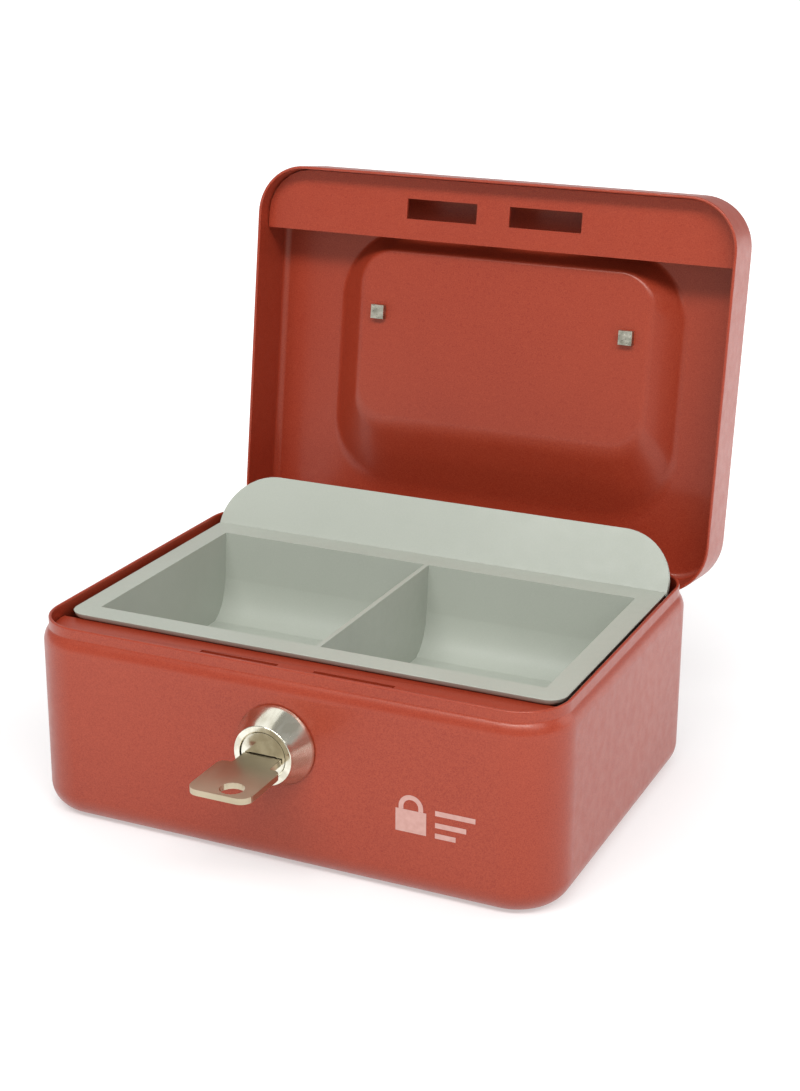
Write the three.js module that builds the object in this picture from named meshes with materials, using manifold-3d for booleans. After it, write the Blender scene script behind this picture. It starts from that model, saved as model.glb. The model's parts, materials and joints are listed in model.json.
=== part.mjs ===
// A small steel cash box with a hinged lid, a lift-out coin tray, a folding handle and a cam lock.
// Millimetres, +Z up. The origin is the middle of the underside, the lock is on the -Y side.
// The lid is drawn shut and then swung open about its hinge, so every lid size is a closed-box size.
import * as THREE from "three";
import { mergeVertices } from "three/addons/utils/BufferGeometryUtils.js";
import Module from "manifold-3d";

const wasm = await Module();
wasm.setup();

// ---------------------------------------------------------------- driving dimensions
const WIDTH = 152;
const DEPTH = 115;
const CLOSED_HEIGHT = 71.3;
const SHEET = 0.9; // painted steel
const GAP = 0.3; // clearance between fixed neighbours
const CORNER = 15; // upright corner radius of base and lid
const FRONT = -DEPTH / 2; // outer face of the lock's wall
const BACK = DEPTH / 2;

const FOOT_RADIUS = 7.5; // rounded bottom edge
const NECK_INSET = 1.5; // the base's wall curves in by this much, then rises as the neck
const NECK_FOOT_Z = 52.7;
const NECK_TOP_Z = 55.8;
const BEAD_HEIGHT = 3.9; // height of that curve
const LID_RIM_Z = 52.4;
const LID_EDGE_RADIUS = 3;

const OPEN_ANGLE = THREE.MathUtils.degToRad(97.7);
const HINGE_Y = 57.73;
const HINGE_Z = 45.45;
const HINGE_LENGTH = 90;
const KNUCKLES = 5;
const KNUCKLE_RADIUS = 1.7;
const PIN_RADIUS = 0.8;
const LEAF = 0.8; // thickness
const LEAF_LOW_Z = 32;
const LEAF_HIGH_Z = 63;

const RECESS_X = 2.5; // the handle's recess and posts sit a little right of the middle
const RECESS_DEPTH = 7.2;
const RECESS_EDGE = { width: 111, depth: 80, y: 1, radius: 22 };
const RECESS_FLOOR = { width: 92.5, depth: 52.8, y: -6.9, radius: 10 };
const POST = { spread: 40.2, shank: 4.2, width: 5, depth: 7, height: 4.8, staked: 2 };
const HANDLE_Y = -14.8;
const HANDLE_Z = CLOSED_HEIGHT - RECESS_DEPTH + 2.7; // pivot line of the handle, lid shut
const HANDLE_SPREAD = 45.2; // each leg's distance from the middle
const HANDLE_REACH = 30;
const HANDLE_BEND = 8;
const HANDLE_WIRE = 1.9; // radius
const HANDLE_STUB = 1.3; // radius of the ends that turn in the posts

const LEDGE_Z = 52.3; // top of the lock cover's ledge
const COVER_WALL_Y = -41.1; // tray side of the lock cover
const COVER_FLOOR_Z = 12;
const SLOT_Y = -47.1; // the bolt's tongues work in this plane
const SLOT_LENGTH = 22.7;
const SLOT_WIDTH = 1.3;
const LEDGE_SLOTS_X = [-15.5, 17.6];
const CATCH_HOLES_X = [-16.55, 16.55];
const CATCH_HOLE_WIDTH = 6;
const CATCH_Z = 57.5; // underside of the lid's catch strip
const CATCH_DEPTH = 18.3;
const CATCH_FLANGE = 8;

const LOCK_X = 0.8;
const LOCK_Z = 35.3;
const LOCK_FACE_Y = -65.2;
const BEZEL_RADIUS = 11;
const BARREL_RADIUS = 8;
const BARREL_END_Y = -51.5;
const PLUG_RADIUS = 5;
const PLUG_FACE_Y = LOCK_FACE_Y + 0.4;
const PLUG_HEAD = { radius: 6.2, depth: 1.6 }; // the wider front of the plug, sunk in the bezel
const KEY_DROP = 0.8; // the keyway lies this far below the plug's axis
const KEYWAY = { width: 7.6, height: 2.2, endY: -55.3 };
const WAFER = { count: 3, firstY: -61.2, pitch: 2.2, thickness: 0.8, width: 8.8, height: 4.4 };
const NUT = { radius: 11, thickness: 2.5 };

const KEY_THICKNESS = 1.6;
const KEY_BOW = { half: 8.6, end: -88.8, back: -71.1, outer: 3.2, inner: 2.2 };
const KEY_SHANK = { half: 5.3, end: PLUG_FACE_Y - GAP };
const KEY_BLADE = { half: 3.5, end: KEYWAY.endY - 0.6, tip: 1.5 };
const KEY_RING_HOLE = { x: 2.1, fromEnd: 4.4, radius: 3.2 };

const CRANK = 8; // radius of the crank pin, and the bolt's rise and sideways shift
const CRANK_PIN = 1.5; // radius
const CAM_Y = BARREL_END_Y + 0.6; // front face of the crank
const CAM_THICKNESS = 1.2;
const CAM_ARM = 3.6; // half width
const SCREW = { shank: 1.3, head: 2.6, headHeight: 1, slot: 0.7, tipY: -54, holeY: -54.4 };
const BOLT_THICKNESS = 0.8;
const BOLT = { left: -26, right: 34, bottom: 22.5, tongue: 11, tonguesX: [-20.6, 12.6] };
const RIVET_RADIUS = 1.5;
const RIVET_FLANGES = [3, 2.8, 2.6]; // radii in front of the bolt, behind it and inside the tray's side
const RIVETS = [
  [-21, 37],
  [22, 37],
];

const TRAY_WIDTH = 143.2;
const TRAY_FRONT_Y = -42.3;
const TRAY_REAR_Y = 45.4;
const TRAY_TOP_Z = 54.2;
const TRAY_FLOOR_Z = 28.3;
const TRAY_RIM = 1.6;
const TRAY_WALL = 1.2;
const POCKETS = { left: -65, right: 65, front: -35.3, rear: 34.5, divider: 1.5, dividerHalf: 0.7 };
const FLAP = { height: 16.9, radius: 16, lean: THREE.MathUtils.degToRad(36), y: 42 };
const REST = { front: 24, rear: 38, reach: 4.5, stepZ: 44, leg: 9 };

const ARC_STEPS = 6; // facets in each corner of a pressing

// ---------------------------------------------------------------- finishes
function finish(color, roughness, metalness) {
  return new THREE.MeshStandardMaterial({ color, roughness, metalness });
}

const PAINT = finish(0xb04a38, 0.45, 0.1);
const TRAY_PLASTIC = finish(0xbcc0af, 0.6, 0);
const CHROME = finish(0xe6e4da, 0.12, 1);
const ZINC = finish(0xb9b6ab, 0.35, 1);
const BRASS = finish(0xb08d4a, 0.3, 1);
const NICKEL = finish(0xc3bcae, 0.22, 1);

// ---------------------------------------------------------------- solids
function solidOf(geometry) {
  const bare = geometry.clone();
  bare.deleteAttribute("normal");
  bare.deleteAttribute("uv");
  const merged = mergeVertices(bare, 1e-4);
  const mesh = new wasm.Mesh({
    numProp: 3,
    vertProperties: new Float32Array(merged.attributes.position.array),
    triVerts: new Uint32Array(merged.index.array),
  });
  return new wasm.Manifold(mesh);
}

function geometryOf(solid) {
  const mesh = solid.getMesh();
  const corners = new Float32Array(mesh.vertProperties);
  const geometry = new THREE.BufferGeometry();
  geometry.setAttribute("position", new THREE.BufferAttribute(corners, 3));
  geometry.setIndex(new THREE.BufferAttribute(new Uint32Array(mesh.triVerts), 1));
  return geometry;
}

function join(...pieces) {
  return geometryOf(pieces.map(solidOf).reduce((whole, next) => whole.add(next)));
}

function cut(piece, ...tools) {
  const left = tools.map(solidOf).reduce((solid, tool) => solid.subtract(tool), solidOf(piece));
  return geometryOf(left);
}

function common(a, b) {
  return geometryOf(solidOf(a).intersect(solidOf(b)));
}

// A block between two opposite corners.
function block(x0, x1, y0, y1, z0, z1) {
  const geometry = new THREE.BoxGeometry(x1 - x0, y1 - y0, z1 - z0);
  return geometry.translate((x0 + x1) / 2, (y0 + y1) / 2, (z0 + z1) / 2);
}

// A round bar along Y, from y0 to y1.
function barY(radius, x, z, y0, y1, sides = 24) {
  const geometry = new THREE.CylinderGeometry(radius, radius, y1 - y0, sides);
  return geometry.translate(x, (y0 + y1) / 2, z);
}

// A round bar along X, from x0 to x1.
function barX(radius, y, z, x0, x1, sides = 20) {
  const geometry = new THREE.CylinderGeometry(radius, radius, x1 - x0, sides);
  return geometry.rotateZ(Math.PI / 2).translate((x0 + x1) / 2, y, z);
}

function extrude(shape, depth) {
  return new THREE.ExtrudeGeometry(shape, { depth, bevelEnabled: false, curveSegments: 8 });
}

// A shape drawn in X and Z, given its thickness along Y from y0 to y1.
function plateXZ(shape, y0, y1) {
  return extrude(shape, y1 - y0).rotateX(Math.PI / 2).translate(0, y1, 0);
}

// A shape drawn in Y and Z, extruded along X from x0 to x1.
function plateYZ(shape, x0, x1) {
  const yzx = new THREE.Matrix4().makeBasis(
    new THREE.Vector3(0, 1, 0),
    new THREE.Vector3(0, 0, 1),
    new THREE.Vector3(1, 0, 0),
  );
  return extrude(shape, x1 - x0).applyMatrix4(yzx).translate(x0, 0, 0);
}

function polygon(points) {
  return new THREE.Shape(points.map(([a, b]) => new THREE.Vector2(a, b)));
}

// A slot with round ends, drawn from point a to point b.
function slotShape(a, b, radius) {
  const angle = Math.atan2(b.y - a.y, b.x - a.x);
  const shape = new THREE.Shape();
  shape.absarc(b.x, b.y, radius, angle - Math.PI / 2, angle + Math.PI / 2);
  shape.absarc(a.x, a.y, radius, angle + Math.PI / 2, angle + 1.5 * Math.PI);
  shape.closePath();
  return shape;
}

// ---------------------------------------------------------------- pressed shells
// The outline of a rectangle with round corners, centred on (x, y).
function roundedRectangle({ width, depth, radius, x = 0, y = 0 }) {
  const points = [];
  const corners = [
    [1, 1],
    [-1, 1],
    [-1, -1],
    [1, -1],
  ];
  corners.forEach(([sx, sy], quarter) => {
    for (let step = 0; step <= ARC_STEPS; step++) {
      const angle = (quarter + step / ARC_STEPS) * (Math.PI / 2);
      points.push([
        x + sx * (width / 2 - radius) + radius * Math.cos(angle),
        y + sy * (depth / 2 - radius) + radius * Math.sin(angle),
      ]);
    }
  });
  return points;
}

// A pressed shell: one skin through a list of rounded rectangles, with a flat face on the first and
// on the last. Drawn down the inside and up the outside, or the other way round, it makes a wall.
function pressing(rings) {
  const position = [];
  const index = [];
  const outlines = rings.map(roundedRectangle);
  const count = outlines[0].length;
  outlines.forEach((outline, r) => outline.forEach(([x, y]) => position.push(x, y, rings[r].z)));
  for (let r = 0; r + 1 < rings.length; r++) {
    for (let i = 0; i < count; i++) {
      const [low, high] = [r * count, (r + 1) * count];
      const next = (i + 1) % count;
      index.push(low + i, low + next, high + next);
      index.push(low + i, high + next, high + i);
    }
  }
  const last = (rings.length - 1) * count;
  for (let i = 1; i + 1 < count; i++) {
    index.push(0, i + 1, i);
    index.push(last, last + i, last + i + 1);
  }
  const geometry = new THREE.BufferGeometry();
  geometry.setAttribute("position", new THREE.Float32BufferAttribute(position, 3));
  geometry.setIndex(index);
  return geometry;
}

// The box outline drawn in by inset, at height z.
function boxRing(inset, z) {
  return {
    width: WIDTH - 2 * inset,
    depth: DEPTH - 2 * inset,
    radius: CORNER - inset,
    z,
  };
}

// Rings of a rounded edge next to a flat face at faceZ. The angle is in quarter turns from that face,
// and up is 1 for a bottom edge and -1 for a top edge.
function edgeRings(inset, radius, faceZ, up, from, to, steps) {
  const rings = [];
  for (let step = 0; step <= steps; step++) {
    const angle = (from + ((to - from) * step) / steps) * (Math.PI / 2);
    const drawnIn = inset + radius * (1 - Math.sin(angle));
    rings.push(boxRing(drawnIn, faceZ + up * radius * (1 - Math.cos(angle))));
  }
  return rings;
}

// Rings of the gentle curve at the top of the base's wall, from the wall up to the foot of the neck.
function beadRings(steps) {
  const radius = (BEAD_HEIGHT ** 2 + NECK_INSET ** 2) / (2 * NECK_INSET);
  const sweep = Math.asin(BEAD_HEIGHT / radius);
  const rings = [];
  for (let step = 0; step <= steps; step++) {
    const angle = (sweep * step) / steps;
    const z = NECK_FOOT_Z - BEAD_HEIGHT + radius * Math.sin(angle);
    rings.push(boxRing(radius * (1 - Math.cos(angle)), z));
  }
  return rings;
}

// A sheet bent to a folded outline in Y and Z, cut to fit inside the box walls at this inset.
function foldedSheet(points, inset) {
  const inside = pressing([boxRing(inset, 0), boxRing(inset, CLOSED_HEIGHT)]);
  return common(plateYZ(polygon(points), -WIDTH / 2, WIDTH / 2), inside);
}

function named(name, geometry, material) {
  const mesh = new THREE.Mesh(geometry, material);
  mesh.name = name;
  return mesh;
}

// ---------------------------------------------------------------- base
function baseShell() {
  const inner = NECK_INSET + SHEET;
  const beadFoot = NECK_FOOT_Z - BEAD_HEIGHT;
  const shell = pressing([
    ...edgeRings(0, FOOT_RADIUS, 0, 1, 0, 1, 4),
    ...beadRings(3),
    boxRing(NECK_INSET, NECK_TOP_Z),
    boxRing(inner, NECK_TOP_Z),
    boxRing(inner, beadFoot + 1.6),
    boxRing(SHEET, beadFoot - 0.6),
    ...edgeRings(SHEET, FOOT_RADIUS - SHEET, SHEET, 1, 1, 0, 4),
  ]);
  const lockHole = barY(BARREL_RADIUS + GAP, LOCK_X, LOCK_Z, FRONT - 2, FRONT + 2);
  const half = HINGE_LENGTH / 2 + 0.6;
  const high = KNUCKLE_RADIUS + 0.4;
  const window = block(-half, half, BACK - 2, BACK + 1, HINGE_Z - high, HINGE_Z + high);
  return cut(shell, lockHole, window);
}

// The folded sheet that makes the ledge behind the neck and closes off the lock.
function lockCover() {
  const points = [
    [FRONT, LEDGE_Z],
    [FRONT, LEDGE_Z - SHEET],
    [COVER_WALL_Y - SHEET, LEDGE_Z - SHEET],
    [COVER_WALL_Y - SHEET, COVER_FLOOR_Z + SHEET],
    [FRONT, COVER_FLOOR_Z + SHEET],
    [FRONT, COVER_FLOOR_Z],
    [COVER_WALL_Y, COVER_FLOOR_Z],
    [COVER_WALL_Y, LEDGE_Z],
  ];
  const slots = LEDGE_SLOTS_X.map((x) => sheetHole(x, SLOT_WIDTH, LEDGE_Z));
  const rivetHoles = RIVETS.map(([x, z]) => {
    return barY(RIVET_RADIUS + GAP, x, z, COVER_WALL_Y - 3, COVER_WALL_Y + 3);
  });
  return cut(foldedSheet(points, NECK_INSET + SHEET + GAP), ...slots, ...rivetHoles);
}

// The cutter for a long hole in a level sheet near height z, in the plane of the bolt's tongues.
function sheetHole(x, width, z) {
  const half = SLOT_LENGTH / 2;
  return block(x - half, x + half, SLOT_Y - width / 2, SLOT_Y + width / 2, z - 2, z + 2);
}

// A shelf on the side wall that carries one rear corner of the tray. side is -1 or 1.
function trayRest(side) {
  const wall = WIDTH / 2 - SHEET - GAP;
  const neck = wall - NECK_INSET;
  const profile = [
    [neck - REST.reach, LEDGE_Z],
    [neck - REST.reach, LEDGE_Z - SHEET],
    [neck - SHEET, LEDGE_Z - SHEET],
    [neck - SHEET, REST.stepZ - SHEET],
    [wall - SHEET, REST.stepZ - SHEET],
    [wall - SHEET, REST.stepZ - REST.leg],
    [wall, REST.stepZ - REST.leg],
    [wall, REST.stepZ],
    [neck, REST.stepZ],
    [neck, LEDGE_Z],
  ];
  const points = profile.map(([x, z]) => [side * x, z]);
  return plateXZ(polygon(points), REST.front, REST.rear);
}

// ---------------------------------------------------------------- lock
// The bezel with its cone and counterbore, and the barrel behind it, turned in one piece.
function lockHousing() {
  const bore = PLUG_RADIUS + GAP;
  const mouth = PLUG_HEAD.radius + GAP;
  const step = PLUG_FACE_Y + PLUG_HEAD.depth + GAP;
  const seat = FRONT - GAP;
  const profile = [
    [bore, step],
    [mouth, step],
    [mouth, LOCK_FACE_Y],
    [7.9, LOCK_FACE_Y],
    [8.2, LOCK_FACE_Y + 0.3],
    [BEZEL_RADIUS, seat - 0.6],
    [BEZEL_RADIUS, seat],
    [BARREL_RADIUS, seat],
    [BARREL_RADIUS, BARREL_END_Y],
    [bore, BARREL_END_Y],
    [bore, step],
  ];
  const points = profile.map(([radius, y]) => new THREE.Vector2(radius, y));
  return new THREE.LatheGeometry(points, 32).translate(LOCK_X, 0, LOCK_Z);
}

function lockNut() {
  const front = FRONT + SHEET + GAP;
  const rear = front + NUT.thickness;
  const hexagon = barY(NUT.radius, LOCK_X, LOCK_Z, front, rear, 6);
  return cut(hexagon, barY(BARREL_RADIUS + GAP, LOCK_X, LOCK_Z, front - 1, rear + 1));
}

// A flat block from y0 to y1, centred on the plug's axis or, with drop, below it.
function slab(width, height, y0, y1, drop = 0) {
  const z = LOCK_Z - drop;
  return block(LOCK_X - width / 2, LOCK_X + width / 2, y0, y1, z - height / 2, z + height / 2);
}

const waferY = (number) => WAFER.firstY + number * WAFER.pitch;
const wafers = Array.from({ length: WAFER.count }, (_, number) => number);

function lockPlug() {
  const headBack = PLUG_FACE_Y + PLUG_HEAD.depth;
  const body = join(
    barY(PLUG_HEAD.radius, LOCK_X, LOCK_Z, PLUG_FACE_Y, headBack, 32),
    barY(PLUG_RADIUS, LOCK_X, LOCK_Z, headBack - 0.5, BARREL_END_Y + GAP),
  );
  const keyway = slab(KEYWAY.width, KEYWAY.height, PLUG_FACE_Y - 1, KEYWAY.endY, KEY_DROP);
  const screwHole = barY(SCREW.shank + GAP, LOCK_X, LOCK_Z, SCREW.holeY, BARREL_END_Y + 2, 16);
  const chambers = wafers.map((number) => {
    const y = waferY(number);
    const width = WAFER.width + 2 * GAP;
    return slab(width, WAFER.height + 2 * GAP, y - GAP, y + WAFER.thickness + GAP);
  });
  return cut(body, keyway, screwHole, ...chambers);
}

function wafer(number) {
  const y = waferY(number);
  const plate = slab(WAFER.width, WAFER.height, y, y + WAFER.thickness);
  return cut(plate, slab(KEYWAY.width, KEYWAY.height, y - 1, y + 2, KEY_DROP));
}

// The flat crank behind the plug, with the pin that drives the bolt.
function cam() {
  const axis = new THREE.Vector2(LOCK_X, LOCK_Z);
  const pin = new THREE.Vector2(LOCK_X, LOCK_Z - CRANK);
  const rear = CAM_Y + CAM_THICKNESS;
  const pinEnd = SLOT_Y + BOLT_THICKNESS / 2 + 0.9;
  const arm = plateXZ(slotShape(axis, pin, CAM_ARM), CAM_Y, rear);
  const pinBar = barY(CRANK_PIN, pin.x, pin.y, rear - 0.5, pinEnd, 16);
  return cut(join(arm, pinBar), barY(SCREW.shank + GAP, LOCK_X, LOCK_Z, CAM_Y - 1, rear + 1, 16));
}

function camScrew() {
  const seat = CAM_Y + CAM_THICKNESS + GAP;
  const top = seat + SCREW.headHeight;
  const head = barY(SCREW.head, LOCK_X, LOCK_Z, seat, top);
  const driverSlot = slab(3 * SCREW.head, SCREW.slot, top - SCREW.headHeight / 2, top + 1);
  return join(cut(head, driverSlot), barY(SCREW.shank, LOCK_X, LOCK_Z, SCREW.tipY, seat + 0.3, 16));
}

// One side of the key's outline, seen from above, from the middle of the bow's end to the blade's tip.
function keySide(side, tip) {
  const { half, end, back, outer, inner } = KEY_BOW;
  const points = [];
  const corner = (x, y, radius, from) => {
    for (let step = 0; step <= ARC_STEPS; step++) {
      const angle = from + (step / ARC_STEPS) * (Math.PI / 2);
      points.push([x + radius * Math.cos(angle), y + radius * Math.sin(angle)]);
    }
  };
  corner(half - outer, end + outer, outer, -Math.PI / 2);
  corner(half - inner, back - inner, inner, 0);
  points.push([KEY_SHANK.half, back]);
  points.push([KEY_SHANK.half, KEY_SHANK.end]);
  points.push([KEY_BLADE.half, KEY_SHANK.end]);
  points.push([KEY_BLADE.half, tip - KEY_BLADE.tip]);
  points.push([KEY_BLADE.half - KEY_BLADE.tip, tip]);
  return points.map(([x, y]) => [side * x, y]);
}

// Bow, shank and blade of the key in one flat outline, lying level in the plug.
function key() {
  const tip = KEY_BLADE.end;
  const outline = polygon([...keySide(1, tip), ...keySide(-1, tip).reverse()]);
  const ringHole = new THREE.Path();
  const holeY = KEY_BOW.end + KEY_RING_HOLE.fromEnd;
  ringHole.absarc(KEY_RING_HOLE.x, holeY, KEY_RING_HOLE.radius, 0, 2 * Math.PI, true);
  outline.holes.push(ringHole);
  const low = LOCK_Z - KEY_DROP - KEY_THICKNESS / 2;
  return extrude(outline, KEY_THICKNESS).translate(LOCK_X, 0, low);
}

// ---------------------------------------------------------------- bolt
// A tongue of the bolt. Its sides lean one to one, along the bolt's travel, and left is where the
// left one crosses the ledge's top face.
function tongue(left, foot, tip) {
  const lean = (z) => left + (LEDGE_Z - z);
  return polygon([
    [lean(foot), foot],
    [lean(foot) + BOLT.tongue, foot],
    [lean(tip) + BOLT.tongue, tip],
    [lean(tip), tip],
  ]);
}

// The plate that slides up and to the left as the key turns, with one tongue for each slot.
function boltPlate() {
  const ledgeUnderside = LEDGE_Z - SHEET;
  const top = ledgeUnderside - CRANK - 0.5;
  const y0 = SLOT_Y - BOLT_THICKNESS / 2;
  const y1 = SLOT_Y + BOLT_THICKNESS / 2;
  const body = polygon([
    [BOLT.left, BOLT.bottom],
    [BOLT.right, BOLT.bottom],
    [BOLT.right, top],
    [BOLT.left, top],
  ]);
  const tongues = BOLT.tonguesX.map((left) => {
    return plateXZ(tongue(left, top - 1, ledgeUnderside - GAP), y0, y1);
  });
  const guides = RIVETS.map(([x, z]) => {
    const start = new THREE.Vector2(x, z);
    const end = new THREE.Vector2(x + CRANK, z - CRANK);
    return plateXZ(slotShape(start, end, RIVET_RADIUS + GAP), y0 - 1, y1 + 1);
  });
  // Across the bolt's travel, the crank pin only moves by the height of its arc.
  const arc = CRANK * (1 - Math.SQRT1_2) * Math.SQRT1_2;
  const low = new THREE.Vector2(LOCK_X - arc, LOCK_Z - CRANK - arc);
  const high = new THREE.Vector2(LOCK_X, LOCK_Z - CRANK);
  const crankSlot = plateXZ(slotShape(low, high, CRANK_PIN + 2 * GAP), y0 - 1, y1 + 1);
  return cut(join(plateXZ(body, y0, y1), ...tongues), ...guides, crankSlot);
}

// A shouldered rivet from the lock cover through one of the bolt's guide slots.
function guideRivet([x, z]) {
  const [front, middle, rear] = RIVET_FLANGES;
  const plateFront = SLOT_Y - BOLT_THICKNESS / 2 - GAP;
  const plateBack = SLOT_Y + BOLT_THICKNESS / 2 + GAP;
  const coverFront = COVER_WALL_Y - SHEET - GAP;
  const coverBack = COVER_WALL_Y + GAP;
  return join(
    barY(front, x, z, plateFront - 1, plateFront, 20),
    barY(RIVET_RADIUS, x, z, plateFront - 0.5, coverBack + 0.5, 20),
    barY(middle, x, z, plateBack, coverFront, 20),
    barY(rear, x, z, coverBack, coverBack + 0.8, 20),
  );
}

// ---------------------------------------------------------------- hinge
// One leaf: a plate from its far edge almost to the knuckles, and every second knuckle from first on.
function hingeLeaf(farZ, first) {
  const half = HINGE_LENGTH / 2;
  const y = BACK + GAP;
  const nearZ = HINGE_Z + Math.sign(farZ - HINGE_Z) * (KNUCKLE_RADIUS + GAP);
  const plate = block(-half, half, y, y + LEAF, Math.min(nearZ, farZ), Math.max(nearZ, farZ));
  const pieces = [plate];
  const length = HINGE_LENGTH / KNUCKLES;
  for (let number = first; number < KNUCKLES; number += 2) {
    const x0 = -half + number * length + 0.2;
    const x1 = x0 + length - 0.4;
    const [low, high] = [Math.min(nearZ, HINGE_Z), Math.max(nearZ, HINGE_Z)];
    pieces.push(block(x0, x1, y, y + LEAF, low - 0.1, high + 0.1));
    pieces.push(barX(KNUCKLE_RADIUS, HINGE_Y, HINGE_Z, x0, x1));
  }
  return cut(join(...pieces), barX(PIN_RADIUS + GAP, HINGE_Y, HINGE_Z, -half - 1, half + 1));
}

function hingePin() {
  return barX(PIN_RADIUS, HINGE_Y, HINGE_Z, -HINGE_LENGTH / 2, HINGE_LENGTH / 2, 16);
}

// ---------------------------------------------------------------- lid, drawn shut
// The two rings of the pressed handle recess, at its edge and at its floor.
function recessRings(topZ, grow) {
  const ring = ({ width, depth, y, radius }, z) => {
    return { width: width + grow, depth: depth + grow, radius, x: RECESS_X, y, z };
  };
  return [ring(RECESS_EDGE, topZ), ring(RECESS_FLOOR, topZ - RECESS_DEPTH)];
}

function lidShell() {
  const innerTop = CLOSED_HEIGHT - SHEET;
  const shell = pressing([
    ...recessRings(innerTop, 1).reverse(),
    ...edgeRings(SHEET, LID_EDGE_RADIUS - SHEET, innerTop, -1, 0, 1, 3),
    boxRing(SHEET, LID_RIM_Z),
    boxRing(0, LID_RIM_Z),
    ...edgeRings(0, LID_EDGE_RADIUS, CLOSED_HEIGHT, -1, 1, 0, 3),
    ...recessRings(CLOSED_HEIGHT, 0),
  ]);
  const floor = CLOSED_HEIGHT - RECESS_DEPTH;
  const half = POST.shank / 2 + GAP;
  const holes = [-1, 1].map((side) => {
    const x = RECESS_X + side * POST.spread;
    return block(x - half, x + half, HANDLE_Y - half, HANDLE_Y + half, floor - 2, floor + 1);
  });
  return cut(shell, ...holes);
}

// The strip inside the lid's front with the two holes that the bolt's tongues catch in.
function catchStrip() {
  const inset = SHEET + GAP;
  const front = FRONT + inset;
  const top = CATCH_Z + CATCH_FLANGE;
  const points = [
    [FRONT, CATCH_Z],
    [front + CATCH_DEPTH, CATCH_Z],
    [front + CATCH_DEPTH, CATCH_Z + SHEET],
    [front + SHEET, CATCH_Z + SHEET],
    [front + SHEET, top],
    [FRONT, top],
  ];
  const holes = CATCH_HOLES_X.map((x) => sheetHole(x, CATCH_HOLE_WIDTH, CATCH_Z));
  return cut(foldedSheet(points, inset), ...holes);
}

// ---------------------------------------------------------------- handle
// A post that carries one end of the handle, its square shank staked over inside the lid.
function handlePost(side) {
  const x = RECESS_X + side * POST.spread;
  const floor = CLOSED_HEIGHT - RECESS_DEPTH;
  const seat = floor + GAP;
  const low = floor - SHEET - POST.staked;
  const across = POST.width / 2;
  const along = POST.depth / 2;
  const shank = POST.shank / 2;
  const post = join(
    block(x - across, x + across, HANDLE_Y - along, HANDLE_Y + along, seat, seat + POST.height),
    block(x - shank, x + shank, HANDLE_Y - shank, HANDLE_Y + shank, low, seat + 0.2),
  );
  return cut(post, barX(HANDLE_STUB + GAP, HANDLE_Y, HANDLE_Z, x - across - 1, x + across + 1));
}

// Half of the handle's middle line, from the far end of one leg to the middle of the grip.
function legPath(side) {
  const point = (x, y) => new THREE.Vector3(side * x, y, 0);
  const bendStart = HANDLE_REACH - HANDLE_BEND;
  const gripEnd = HANDLE_SPREAD - HANDLE_BEND;
  return {
    leg: [point(HANDLE_SPREAD, -HANDLE_WIRE), point(HANDLE_SPREAD, bendStart)],
    bend: [
      point(HANDLE_SPREAD, bendStart),
      point(HANDLE_SPREAD, HANDLE_REACH),
      point(gripEnd, HANDLE_REACH),
    ],
    gripEnd: point(gripEnd, HANDLE_REACH),
  };
}

// The wire handle, drawn about its own pivot line: flat against the lid it points along +Y.
function handleBail() {
  const left = legPath(-1);
  const right = legPath(1);
  const path = new THREE.CurvePath();
  path.add(new THREE.LineCurve3(...left.leg));
  path.add(new THREE.QuadraticBezierCurve3(...left.bend));
  path.add(new THREE.LineCurve3(left.gripEnd, right.gripEnd));
  path.add(new THREE.QuadraticBezierCurve3(...right.bend.toReversed()));
  path.add(new THREE.LineCurve3(...right.leg.toReversed()));
  const section = new THREE.Shape();
  section.absarc(0, 0, HANDLE_WIRE, 0, 2 * Math.PI);
  const sweep = { steps: 60, extrudePath: path, curveSegments: 5 };
  const stubs = [-1, 1].map((side) => {
    const inner = side * (POST.spread - POST.width / 2 - 0.8);
    const outer = side * HANDLE_SPREAD;
    return barX(HANDLE_STUB, 0, 0, Math.min(inner, outer), Math.max(inner, outer), 12);
  });
  return join(new THREE.ExtrudeGeometry(section, sweep), ...stubs);
}

// ---------------------------------------------------------------- tray
// The side view of a pocket, grown outwards by grow: upright front, flat floor, and a rear wall that
// sweeps forward to the floor.
function pocketShape(grow, top) {
  const floor = TRAY_FLOOR_Z - grow;
  const front = POCKETS.front - grow;
  const rear = POCKETS.rear + grow;
  const shape = new THREE.Shape();
  shape.moveTo(rear, top);
  shape.lineTo(front, top);
  shape.lineTo(front, floor + 3);
  shape.quadraticCurveTo(front, floor, front + 3, floor);
  shape.lineTo(rear - 9, floor);
  shape.quadraticCurveTo(rear - 3, floor + 2, rear - 1.5, floor + 12);
  shape.closePath();
  return shape;
}

// The upright leaf along the tray's rear edge, leaning back and rounded at its top corners.
function trayFlap() {
  const half = TRAY_WIDTH / 2;
  const { height, radius, lean, y } = FLAP;
  const shape = new THREE.Shape();
  shape.moveTo(-half, -1);
  shape.lineTo(half, -1);
  shape.lineTo(half, height - radius);
  shape.absarc(half - radius, height - radius, radius, 0, Math.PI / 2);
  shape.absarc(-half + radius, height - radius, radius, Math.PI / 2, Math.PI);
  shape.closePath();
  return plateXZ(shape, 0, TRAY_RIM).rotateX(-lean).translate(0, y, TRAY_TOP_Z);
}

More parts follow.
